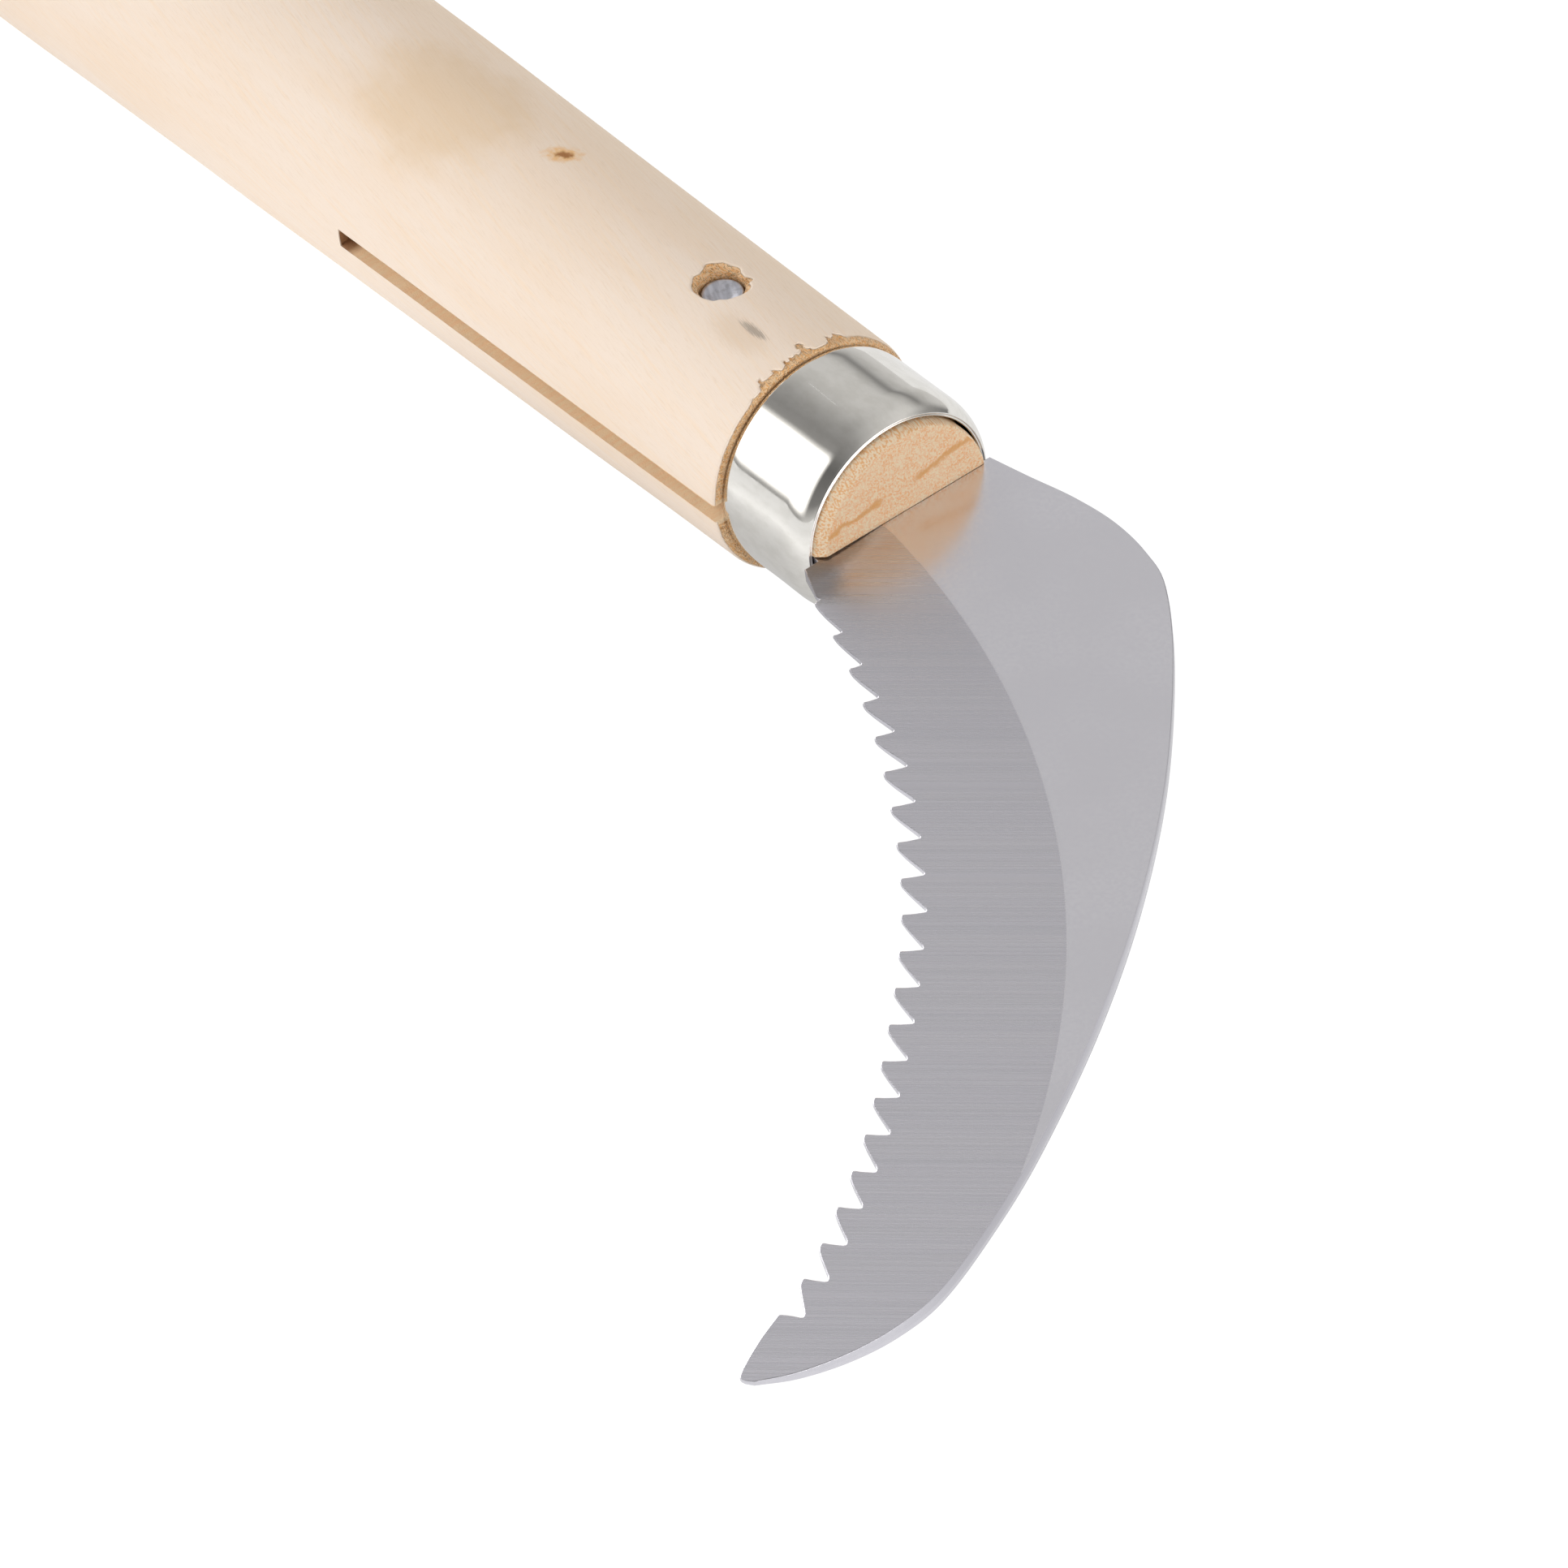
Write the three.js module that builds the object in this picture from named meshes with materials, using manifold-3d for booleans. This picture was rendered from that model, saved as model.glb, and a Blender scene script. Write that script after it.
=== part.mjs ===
// Hand sickle with a saw-toothed blade: a turned wooden handle with a saw kerf, a pressed metal ferrule,
// a sheet-steel blade whose tang lies in the kerf, and one cross rivet.
//
// Millimetres. The origin is the centre of the handle's flat butt face. +X runs along the handle towards
// the blade, +Z is the blade's normal on its ground side, and the blade hooks over towards -Y.

import * as THREE from "three";
import { mergeVertices } from "three/addons/utils/BufferGeometryUtils.js";
import Module from "manifold-3d";

const wasm = await Module();
wasm.setup();

// ---- Driving dimensions ----

const GAP = 0.3; // kept between pieces that touch on the real tool

// Facets
const ROUND_SEGMENTS = 80; // round the handle and the ferrule
const HOLE_SEGMENTS = 32; // round the rivet and its holes
const SAW_SEGMENTS = 96; // round the whole slitting saw
const BUTT_STEPS = 8; // along the butt's rounding
const OUTER_LIP_STEPS = 10; // along the ferrule's drawn-in front
const INNER_LIP_STEPS = 6;
const POINT_STEPS = 12; // round the blade's point
const BACK_STEPS = 64; // along the blade's back
const GRIND_STATIONS = 28; // along the ground face
const MERGE_DISTANCE = 1e-4; // vertices closer than this are one

// Handle
const HANDLE_LENGTH = 166.2; // butt face to the shoulder behind the ferrule
const BUTT_RADIUS = 15.6;
const BUTT_ROUNDING = 5.0;
const SHOULDER_RADIUS = 13.6;
const SHOULDER_EDGE = 0.3; // broken edge at the shoulder
const NOSE_RADIUS = 11.1; // end grain standing in the ferrule's lip
const NOSE_STAND_OUT = 0.9; // in front of the lip
const NOSE_EDGE = 0.5;

// Ferrule
const FERRULE_LENGTH = 13.8;
const FERRULE_RADIUS = 12.8;
const FERRULE_WALL = 0.7;
const FERRULE_DRAWN_IN = 3.8; // length over which the front curves in to the lip
const LIP_RADIUS = 11.4; // opening in the front of the ferrule
const LIP_FALL = 10.9; // radius that the curve would reach at the lip's plane

// Kerf, cut by a slitting saw fed in from the front
const KERF_WIDTH = 2.6;
const KERF_END_FROM_LIP = 79.4; // on the handle's axis
const SAW_RADIUS = 60;

// Blade
const BLADE_THICKNESS = 2.0;
const NECK_HALF_WIDTH = 11.0;
const NECK_BACK = 1.6; // the neck reaches this far behind the lip
const TANG_ROOT_HALF_WIDTH = 9.5;
const TANG_END_HALF_WIDTH = 6.5;
const TANG_SHOULDER = 4.0; // full tang width starts this far behind the lip
const TANG_LENGTH = 68.0;
const TOOTH_COUNT = 21;
const TOOTH_PITCH = 5.57; // at the neck
const PITCH_CLOSING = 0.0132; // how far the pitch closes up, times the tooth's number squared
const TOOTH_DEPTH = 2.15;
const FIRST_TOOTH_SHARE = 0.4; // of the full depth
const FULL_DEPTH_TOOTH = 4;
const CREST_LENGTH = 1.2; // blunt top of a tooth
const CORNER = 0.3; // rounding of a tooth's tip and gullet
const GRIND_DEPTH = 1.6; // metal ground away at the toothed edge
const GRIND_RADIUS = 121; // arc where the ground face starts
const GRIND_CENTRE = new THREE.Vector2(-13.7, -122.7); // from the lip's centre
const GRIND_START = 1.475; // radians on that arc, under the wood's end
const GRIND_END = 0.22; // past the tip
const GRIND_RUN_IN = 0.035; // share of the arc over which the cut deepens
const GRIND_OVERRUN = 0.6; // the cut passes the toothed edge by this share of the face's width
const GRIND_LEAD = 0.05; // and starts this share of the width before the arc, clear of the face

// Rivet
const RIVET_FROM_LIP = 29.0;
const RIVET_OFF_AXIS = 1.0;
const RIVET_RADIUS = 2.3;
const RIVET_CHAMFER = 0.4;
const RIVET_RECESS = 1.4; // below the wood at each end
const RIVET_HOLE_IN_WOOD = 2.8;
const RIVET_HOLE_IN_TANG = 2.6;

// Blade outline in its own plane, measured from the centre of the ferrule's lip
const TOOTH_LINE = [
  [3.8, -14.4],
  [14.2, -18.2],
  [29.2, -25.7],
  [47.5, -38.2],
  [66.2, -56.9],
  [75.2, -68.6],
  [80.5, -77.0],
  [82.7, -81.7],
];
const GROUND_EDGE = [[0, -13.4], ...TOOTH_LINE, [89, -97]]; // runs on past the neck and the point
const NECK_LOWER_EDGE = -13.9;
const NECK_UPPER_EDGE = 11.9;
const POINT_OF_BLADE = [
  [82.7, -81.7],
  [84.2, -85.3],
  [86.3, -89.1],
  [87.3, -89.9],
  [88.5, -89.3],
];
const BACK_OF_BLADE = [
  [88.5, -89.3],
  [90.8, -85.6],
  [92.5, -80.5],
  [93.1, -75.0],
  [92.3, -69.0],
  [88.9, -60.5],
  [83.5, -49.8],
  [74.1, -34.6],
  [63.5, -20.3],
  [51.5, -6.9],
  [38.3, 5.1],
  [28.9, 11.9],
  [23.3, 13.9],
  [17.4, 14.6],
  [11.4, 14.1],
  [5.6, 12.9],
  [GAP, NECK_UPPER_EDGE],
];

// ---- Values worked out from the driving dimensions ----

const LIP_X = HANDLE_LENGTH + FERRULE_LENGTH;
const RIVET_X = LIP_X - RIVET_FROM_LIP;
const FERRULE_BORE = FERRULE_RADIUS - FERRULE_WALL;
const SPIGOT_RADIUS = FERRULE_BORE - GAP;

// ---- Solids and booleans ----

function toSolid(geometry) {
  const bare = geometry.clone();
  bare.deleteAttribute("normal");
  bare.deleteAttribute("uv");
  const merged = mergeVertices(bare, MERGE_DISTANCE);
  const mesh = new wasm.Mesh({
    numProp: 3,
    vertProperties: new Float32Array(merged.attributes.position.array),
    triVerts: new Uint32Array(merged.index.array),
  });
  return new wasm.Manifold(mesh);
}

function toGeometry(solid) {
  const mesh = solid.getMesh();
  const geometry = new THREE.BufferGeometry();
  geometry.setAttribute("position", new THREE.BufferAttribute(mesh.vertProperties, 3));
  geometry.setIndex(new THREE.BufferAttribute(mesh.triVerts, 1));
  geometry.computeVertexNormals();
  return geometry;
}

// Turns a profile of [x, radius] points about the X axis.
function turned(profile) {
  const points = profile.map(([x, radius]) => new THREE.Vector2(radius, x));
  return new THREE.LatheGeometry(points, ROUND_SEGMENTS).rotateZ(-Math.PI / 2);
}

// A round bar along Z, centred on a point of the blade's plane.
function crossBar(radius, length, x, y, segments) {
  const bar = new THREE.CylinderGeometry(radius, radius, length, segments);
  return bar.rotateX(Math.PI / 2).translate(x, y, 0);
}

// Points of an arc in a [x, radius] profile, both ends included.
function arcProfile(x, radius, size, fromDegrees, toDegrees, steps) {
  const points = [];
  for (let i = 0; i <= steps; i += 1) {
    const angle = THREE.MathUtils.degToRad(fromDegrees + ((toDegrees - fromDegrees) * i) / steps);
    points.push([x + size * Math.cos(angle), radius + size * Math.sin(angle)]);
  }
  return points;
}

// The elliptical stretch of a [x, radius] profile that draws the ferrule's front in, from its full
// radius to the lip's opening. A wall's inner face is the same curve, moved back and in by the wall.
function drawnInProfile(wall, steps) {
  const fall = FERRULE_RADIUS - LIP_FALL;
  const lastAngle = Math.acos((LIP_RADIUS - LIP_FALL + wall) / fall);
  const points = [];
  for (let i = 0; i <= steps; i += 1) {
    const angle = (lastAngle * i) / steps;
    const x = LIP_X - wall + FERRULE_DRAWN_IN * (Math.sin(angle) - 1);
    points.push([x, LIP_FALL - wall + fall * Math.cos(angle)]);
  }
  return points;
}

// Joins rings that all have the same number of points into one closed solid. Seen from the first ring,
// the points run anticlockwise.
function loft(rings) {
  const size = rings[0].length;
  const indices = [];
  for (let ring = 0; ring + 1 < rings.length; ring += 1) {
    for (let i = 0; i < size; i += 1) {
      const here = ring * size + i;
      const next = ring * size + ((i + 1) % size);
      indices.push(here, here + size, next, next, here + size, next + size);
    }
  }
  const last = (rings.length - 1) * size;
  for (let i = 1; i + 1 < size; i += 1) {
    indices.push(0, i, i + 1, last, last + i + 1, last + i);
  }
  const geometry = new THREE.BufferGeometry();
  const positions = rings.flat().flatMap((point) => [point.x, point.y, point.z]);
  geometry.setAttribute("position", new THREE.Float32BufferAttribute(positions, 3));
  geometry.setIndex(indices);
  return geometry;
}

function toVectors(points) {
  return points.map(([x, y]) => new THREE.Vector2(x, y));
}

// ---- Handle ----

function handleRadiusAt(x) {
  return THREE.MathUtils.lerp(BUTT_RADIUS, SHOULDER_RADIUS, x / HANDLE_LENGTH);
}

function handleGeometry() {
  const buttRadius = handleRadiusAt(BUTT_ROUNDING);
  const nose = LIP_X + NOSE_STAND_OUT;
  const noseStart = LIP_X - FERRULE_DRAWN_IN / 2;
  const body = toSolid(
    turned([
      [0, 0],
      ...arcProfile(BUTT_ROUNDING, buttRadius - BUTT_ROUNDING, BUTT_ROUNDING, 180, 90, BUTT_STEPS),
      [HANDLE_LENGTH - SHOULDER_EDGE, SHOULDER_RADIUS],
      [HANDLE_LENGTH, SHOULDER_RADIUS - SHOULDER_EDGE],
      [HANDLE_LENGTH, SPIGOT_RADIUS],
      [LIP_X - FERRULE_DRAWN_IN - FERRULE_WALL, SPIGOT_RADIUS],
      [noseStart, NOSE_RADIUS],
      [nose - NOSE_EDGE, NOSE_RADIUS],
      [nose, NOSE_RADIUS - NOSE_EDGE],
      [nose, 0],
    ]),
  );
  const sawCentre = LIP_X - KERF_END_FROM_LIP + SAW_RADIUS;
  const kerf = toSolid(crossBar(SAW_RADIUS, KERF_WIDTH, sawCentre, 0, SAW_SEGMENTS));
  const holeLength = 3 * BUTT_RADIUS;
  const hole = toSolid(
    crossBar(RIVET_HOLE_IN_WOOD, holeLength, RIVET_X, RIVET_OFF_AXIS, HOLE_SEGMENTS),
  );
  return toGeometry(body.subtract(kerf).subtract(hole));
}

// ---- Ferrule ----

function ferruleGeometry() {
  const back = HANDLE_LENGTH + GAP;
  return turned([
    [back, FERRULE_BORE],
    [back, FERRULE_RADIUS],
    ...drawnInProfile(0, OUTER_LIP_STEPS),
    ...drawnInProfile(FERRULE_WALL, INNER_LIP_STEPS).reverse(),
    [back, FERRULE_BORE],
  ]);
}

// ---- Blade ----

const toothLine = new THREE.SplineCurve(toVectors(TOOTH_LINE));

// A point at a given length along the line of tooth tips, moved into the blade by a depth.
function onToothLine(length, depth) {
  const share = Math.min(length / toothLine.getLength(), 1);
  const along = toothLine.getTangentAt(share);
  const inward = new THREE.Vector2(-along.y, along.x);
  return toothLine.getPointAt(share).addScaledVector(inward, depth);
}

// Length along the tooth line to a tooth's steep face.
function toothFace(tooth) {
  return TOOTH_PITCH * tooth - PITCH_CLOSING * tooth ** 2;
}

// Each tooth has a blunt crest, then a long straight back down to a gullet. A steep face, slightly
// undercut, rises from there to the next crest.
function toothPoints() {
  const points = [];
  for (let tooth = 0; tooth + 1 < TOOTH_COUNT; tooth += 1) {
    const growth = Math.min(tooth / FULL_DEPTH_TOOTH, 1);
    const depth = TOOTH_DEPTH * THREE.MathUtils.lerp(FIRST_TOOTH_SHARE, 1, growth);
    const face = toothFace(tooth);
    const next = toothFace(tooth + 1);
    points.push(onToothLine(face, CORNER));
    points.push(onToothLine(face + CORNER, 0));
    points.push(onToothLine(face + CREST_LENGTH, CORNER / 3));
    points.push(onToothLine(next - CORNER, depth));
    points.push(onToothLine(next + CORNER / 3, depth - CORNER));
  }
  return points;
}

function tangPoints() {
  const tangStart = TANG_SHOULDER - TANG_LENGTH;
  const upper = toVectors([
    [GAP, NECK_HALF_WIDTH],
    [-NECK_BACK, NECK_HALF_WIDTH],
    [-TANG_SHOULDER, TANG_ROOT_HALF_WIDTH],
    [tangStart, TANG_END_HALF_WIDTH],
    [-TANG_LENGTH, TANG_END_HALF_WIDTH - TANG_SHOULDER],
  ]);
  const lower = upper.map((point) => new THREE.Vector2(point.x, -point.y)).reverse();
  return [...upper, ...lower];
}

function bladeOutline() {
  const point = new THREE.SplineCurve(toVectors(POINT_OF_BLADE));
  const back = new THREE.SplineCurve(toVectors(BACK_OF_BLADE));
  return [
    new THREE.Vector2(GAP, NECK_LOWER_EDGE),
    new THREE.Vector2(TOOTH_LINE[0][0] - GAP, NECK_LOWER_EDGE + GAP),
    ...toothPoints(),
    ...point.getSpacedPoints(POINT_STEPS),
    ...back.getSpacedPoints(BACK_STEPS).slice(1),
    ...tangPoints(),
  ];
}

// The metal that the grinding wheel takes off: nothing on the arc where the ground face starts, and
// GRIND_DEPTH at the toothed edge.
function grindingCut() {
  const face = BLADE_THICKNESS / 2;
  const clear = face + 1;
  const groundEdge = new THREE.SplineCurve(toVectors(GROUND_EDGE));
  const rings = [];
  for (let i = 0; i <= GRIND_STATIONS; i += 1) {
    const share = i / GRIND_STATIONS;
    const angle = THREE.MathUtils.lerp(GRIND_START, GRIND_END, share);
    const reach = new THREE.Vector2(Math.cos(angle), Math.sin(angle)).multiplyScalar(GRIND_RADIUS);
    const start = GRIND_CENTRE.clone().add(reach);
    const edge = groundEdge.getPointAt(share);
    const width = edge.clone().sub(start);
    const before = start.clone().addScaledVector(width, -GRIND_LEAD);
    const past = edge.clone().addScaledVector(width, GRIND_OVERRUN);
    const depth = GRIND_DEPTH * Math.min(share / GRIND_RUN_IN - GRIND_LEAD, 1);
    rings.push([
      new THREE.Vector3(before.x, before.y, face + Math.abs(depth) * GRIND_LEAD),
      new THREE.Vector3(past.x, past.y, face - depth * (1 + GRIND_OVERRUN)),
      new THREE.Vector3(past.x, past.y, clear),
      new THREE.Vector3(before.x, before.y, clear),
    ]);
  }
  return loft(rings);
}

function bladeGeometry() {
  const sheet = new THREE.ExtrudeGeometry(new THREE.Shape(bladeOutline()), {
    depth: BLADE_THICKNESS,
    bevelEnabled: false,
  });
  sheet.translate(0, 0, -BLADE_THICKNESS / 2);
  const holeLength = 3 * BLADE_THICKNESS;
  const hole = toSolid(
    crossBar(RIVET_HOLE_IN_TANG, holeLength, -RIVET_FROM_LIP, RIVET_OFF_AXIS, HOLE_SEGMENTS),
  );
  return toGeometry(toSolid(sheet).subtract(hole).subtract(toSolid(grindingCut())));
}

// ---- Rivet ----

function rivetGeometry() {
  const half = handleRadiusAt(RIVET_X) - RIVET_RECESS;
  const profile = [
    [0, -half],
    [RIVET_RADIUS - RIVET_CHAMFER, -half],
    [RIVET_RADIUS, -half + RIVET_CHAMFER],
    [RIVET_RADIUS, half - RIVET_CHAMFER],
    [RIVET_RADIUS - RIVET_CHAMFER, half],
    [0, half],
  ];
  return new THREE.LatheGeometry(toVectors(profile), HOLE_SEGMENTS).rotateX(Math.PI / 2);
}

// ---- Materials ----

const wood = new THREE.MeshStandardMaterial({ color: 0xf0d9bb, roughness: 0.7, metalness: 0.0 });
const nickel = new THREE.MeshStandardMaterial({ color: 0xd6d3cc, roughness: 0.12, metalness: 1.0 });
const bladeSteel = new THREE.MeshStandardMaterial({ color: 0xb7b5bb, roughness: 0.35, metalness: 1.0 });
const rivetSteel = new THREE.MeshStandardMaterial({ color: 0x9c9ea6, roughness: 0.45, metalness: 1.0 });

// ---- Assembly ----

function part(name, geometry, material, x = 0, y = 0) {
  const mesh = new THREE.Mesh(geometry, material);
  mesh.name = name;
  mesh.position.set(x, y, 0);
  return mesh;
}

const sickle = new THREE.Group();
sickle.add(part("handle", handleGeometry(), wood));
sickle.add(part("ferrule", ferruleGeometry(), nickel));
sickle.add(part("blade", bladeGeometry(), bladeSteel, LIP_X));
sickle.add(part("rivet", rivetGeometry(), rivetSteel, RIVET_X, RIVET_OFF_AXIS));

export default sickle;
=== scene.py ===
"""Looks of a saw-toothed hand sickle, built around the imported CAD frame.

Lengths are metres in the CAD frame: the origin is the centre of the handle's butt face, +X runs along
the handle to the blade, +Z is the blade's normal on its ground side, and the blade hooks over to -Y.
An angle round the handle is 0 on its -Y side, 90 degrees on its +Z side.
"""

import math

import bmesh
import bpy
import numpy as np
from mathutils import Matrix, Vector
from mathutils.geometry import delaunay_2d_cdt


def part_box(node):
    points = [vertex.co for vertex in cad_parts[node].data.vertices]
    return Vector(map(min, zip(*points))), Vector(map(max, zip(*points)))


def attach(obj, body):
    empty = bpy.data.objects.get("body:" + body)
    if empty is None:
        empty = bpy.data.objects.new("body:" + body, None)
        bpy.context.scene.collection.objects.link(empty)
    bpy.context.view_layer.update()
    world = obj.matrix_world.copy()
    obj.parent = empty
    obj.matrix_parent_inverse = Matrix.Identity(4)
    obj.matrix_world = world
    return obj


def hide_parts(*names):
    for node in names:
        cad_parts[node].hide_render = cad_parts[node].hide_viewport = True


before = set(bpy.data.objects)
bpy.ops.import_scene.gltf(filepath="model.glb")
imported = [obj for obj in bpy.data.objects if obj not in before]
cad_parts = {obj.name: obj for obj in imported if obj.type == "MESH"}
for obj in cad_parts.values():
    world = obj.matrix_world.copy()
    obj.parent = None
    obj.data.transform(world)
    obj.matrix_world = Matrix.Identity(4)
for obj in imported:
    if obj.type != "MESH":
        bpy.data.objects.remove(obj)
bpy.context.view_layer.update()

MM = 0.001
FULL_TURN = 2 * math.pi
RANDOM = np.random.default_rng(7)

# ---- Places and sizes taken from the frame ----

HANDLE_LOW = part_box("handle")[0]
FERRULE_LOW, FERRULE_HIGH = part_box("ferrule")
BLADE_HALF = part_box("blade")[1].z  # the blade's middle plane is at 0
RIVET_LOW, RIVET_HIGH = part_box("rivet")

GAP = 0.3 * MM  # between the frame's pieces
LIP_X = FERRULE_HIGH.x  # the ferrule's front
SHOULDER_X = FERRULE_LOW.x - GAP  # where the handle steps down to the spigot
RIVET_CENTRE = (RIVET_LOW + RIVET_HIGH) / 2

# ---- Handle ----

HANDLE_SEGMENTS = 560
BUTT_RADIUS = 15.6 * MM  # of the taper, carried on to the butt face
BUTT_ROUNDING = 5.0 * MM
SHOULDER_RADIUS = 13.55 * MM
SHOULDER_ROUNDING = 0.35 * MM
SPIGOT_RADIUS = 11.8 * MM
SPIGOT_END_FROM_LIP = 5.0 * MM
NOSE_RADIUS = 11.1 * MM
NOSE_BACK = 1.9 * MM  # the nose's full radius starts this far behind the lip
NOSE_STAND_OUT = 0.8 * MM
NOSE_ROUNDING = 0.35 * MM
NOSE_BEVEL = 0.85 * MM
BEVEL_RISES, BEVEL_FALLS = (-60, -5), (55, 120)  # degrees round the handle

HOLE_RINGS = (146 * MM, 156 * MM)  # the turned rings lie closer here, for the chips round the hole
CHIP_RINGS_START = 162.5 * MM  # and closest from here to the shoulder
UNEVENNESS = 0.14 * MM  # of the turned surface

KERF_BACK_WIDTH = 2.25 * MM
KERF_FRONT_WIDTH = 2.12 * MM  # squeezed shut on the blade by the ferrule
KERF_END_FROM_LIP = 79.4 * MM
SAW_RADIUS = 60.0 * MM

HOLE_RADIUS = 2.55 * MM
HOLE_CHIP_REACH = 1.6 * MM
HOLE_CHIP_DEPTH = 0.55 * MM
HOLE_CHIP_SIDE = 140  # the direction, in degrees from +X over +Y, where the chips reach furthest
SHOULDER_CHIP_REACH = 1.5 * MM
SHOULDER_CHIP_DEPTH = 0.30 * MM
SHOULDER_SANDING = 0.35 * MM  # off the edge where it meets the ferrule flush
TORN_RISES, TORN_FALLS = (48, 64), (108, 132)  # degrees round the handle
SANDED_RISES, SANDED_FALLS = (95, 125), (165, 200)

# ---- Ferrule ----

FERRULE_SEGMENTS = 360
FERRULE_RADIUS = FERRULE_HIGH.z
FERRULE_WALL = 0.7 * MM
FERRULE_DRAWN_IN = 3.8 * MM
LIP_RADIUS = 11.45 * MM
LIP_FALL = 10.9 * MM
FERRULE_SHIFT = (0.14 * MM, 0.12 * MM)  # it sits a little off the handle's axis, towards +Y and +Z
FERRULE_PINCH = 0.08 * MM  # its back edge is pressed in onto the wood
FERRULE_PINCH_LENGTH = 1.6 * MM
FERRULE_DENTS = 0.05 * MM
LIP_BEADS = [(0.13 * MM, 0.13 * MM, -70), (0.38 * MM, 0.12 * MM, -90)]  # drop, radius, last angle

# ---- Blade outline, measured from the centre of the lip ----

TOOTH_COUNT = 21
TOOTH_PITCH = 5.57 * MM
PITCH_CLOSING = 0.0132 * MM
TOOTH_DEPTH = 2.5 * MM
FIRST_TOOTH_SHARE = 0.4
FULL_DEPTH_TOOTH = 4
CREST_LENGTH = 1.0 * MM
TIP_ROUNDING = 0.5 * MM
GRIND_DEPTH = 1.6 * MM
GRIND_RADIUS = 121 * MM
GRIND_CENTRE = Vector((-13.7, -122.7)) * MM
EDGE_ROUNDING = 0.12 * MM
TOOTH_LINE = [(3.8, -14.4), (14.2, -18.2), (29.2, -25.7), (47.5, -38.2), (66.2, -56.9), (75.2, -68.6),
              (80.5, -77.0), (82.7, -81.7)]
POINT_OF_BLADE = [(82.7, -81.7), (84.2, -85.3), (86.3, -89.1), (87.3, -89.9), (88.5, -89.3)]
BACK_OF_BLADE = [
    (88.5, -89.3), (90.8, -85.6), (92.5, -80.5), (93.1, -75.0), (92.3, -69.0), (88.9, -60.5),
    (83.5, -49.8), (74.1, -34.6), (63.5, -20.3), (51.5, -6.9), (38.3, 5.1), (28.9, 11.9),
    (23.3, 13.9), (17.4, 14.6), (11.4, 14.1), (5.6, 12.9), (0.3, 11.9),
]
TANG = [(0.3, 11.0), (-1.6, 11.0), (-4.0, 9.5), (-64.0, 6.5), (-68.0, 2.5)]
NECK_CORNER = -12.7  # at the lip
NECK_LOWER_EDGE = -13.9  # at the first tooth
LINE_START, LINE_FINISH = (0, -13.4 * MM), (89 * MM, -97 * MM)  # the line of teeth, carried on both ways
ARC_POINTS = 420
ARC_START, ARC_FINISH = 1.53, 0.14  # radians round the grinding centre, from +X over +Y
FILL_STEP = 1.1 * MM
OUTLINE_STEP = 0.45 * MM


# ---- Helpers: noise, curves and meshes ----

def smoothstep(low, high, value):
    share = np.clip((value - low) / (high - low), 0, 1)
    return share * share * (3 - 2 * share)


def hump(rises, falls, value):
    """0, then 1 between two smooth steps, then 0 again."""
    return smoothstep(*rises, value) * (1 - smoothstep(*falls, value))


class ValueNoise:
    """Smooth seeded noise from 0 to 1. The first coordinate is in whole turns, the second in cells."""

    def __init__(self, around, along):
        self.grid = RANDOM.random((around, along))

    def __call__(self, turns, v):
        around, along = self.grid.shape
        u = turns * around
        u0, v0 = np.floor(u).astype(int), np.floor(v).astype(int)
        fu, fv = u - u0, v - v0
        fu, fv = fu * fu * (3 - 2 * fu), fv * fv * (3 - 2 * fv)
        value = 0
        for du, wu in ((0, 1 - fu), (1, fu)):
            for dv, wv in ((0, 1 - fv), (1, fv)):
                value = value + wu * wv * self.grid[(u0 + du) % around, (v0 + dv) % along]
        return value


def catmull_rom(points, step):
    """Points along a uniform Catmull-Rom spline through the given ones, about a step apart."""
    knots = [Vector(p) for p in points]
    knots = [2 * knots[0] - knots[1], *knots, 2 * knots[-1] - knots[-2]]
    made = []
    for a, b, c, d in zip(knots, knots[1:], knots[2:], knots[3:]):
        count = max(2, int((c - b).length / step))
        for i in range(count):
            t = i / count
            made.append(0.5 * (2 * b + (c - a) * t + (2 * a - 5 * b + 4 * c - d) * t ** 2
                               + (3 * b - a - 3 * c + d) * t ** 3))
    return [*made, knots[-2]]


def circle(segments):
    """Evenly spaced angles, in radians."""
    return np.arange(segments) * FULL_TURN / segments


def new_object(name, mesh):
    piece = bpy.data.objects.new(name, mesh)
    bpy.context.scene.collection.objects.link(piece)
    return piece


def mesh_from(name, points, faces):
    """A mesh whose faces point out."""
    mesh = bpy.data.meshes.new(name)
    mesh.from_pydata([tuple(p) for p in points], [], [tuple(f) for f in faces])
    turning = bmesh.new()
    turning.from_mesh(mesh)
    bmesh.ops.recalc_face_normals(turning, faces=turning.faces)
    turning.to_mesh(mesh)
    turning.free()
    return mesh


def shade(mesh, sharp_degrees):
    """Smooth shading that breaks where two faces meet at more than an angle."""
    shaping = bmesh.new()
    shaping.from_mesh(mesh)
    for face in shaping.faces:
        face.smooth = True
    for edge in shaping.edges:
        edge.smooth = len(edge.link_faces) == 2 and edge.calc_face_angle() < math.radians(sharp_degrees)
    shaping.to_mesh(mesh)
    shaping.free()


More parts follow.
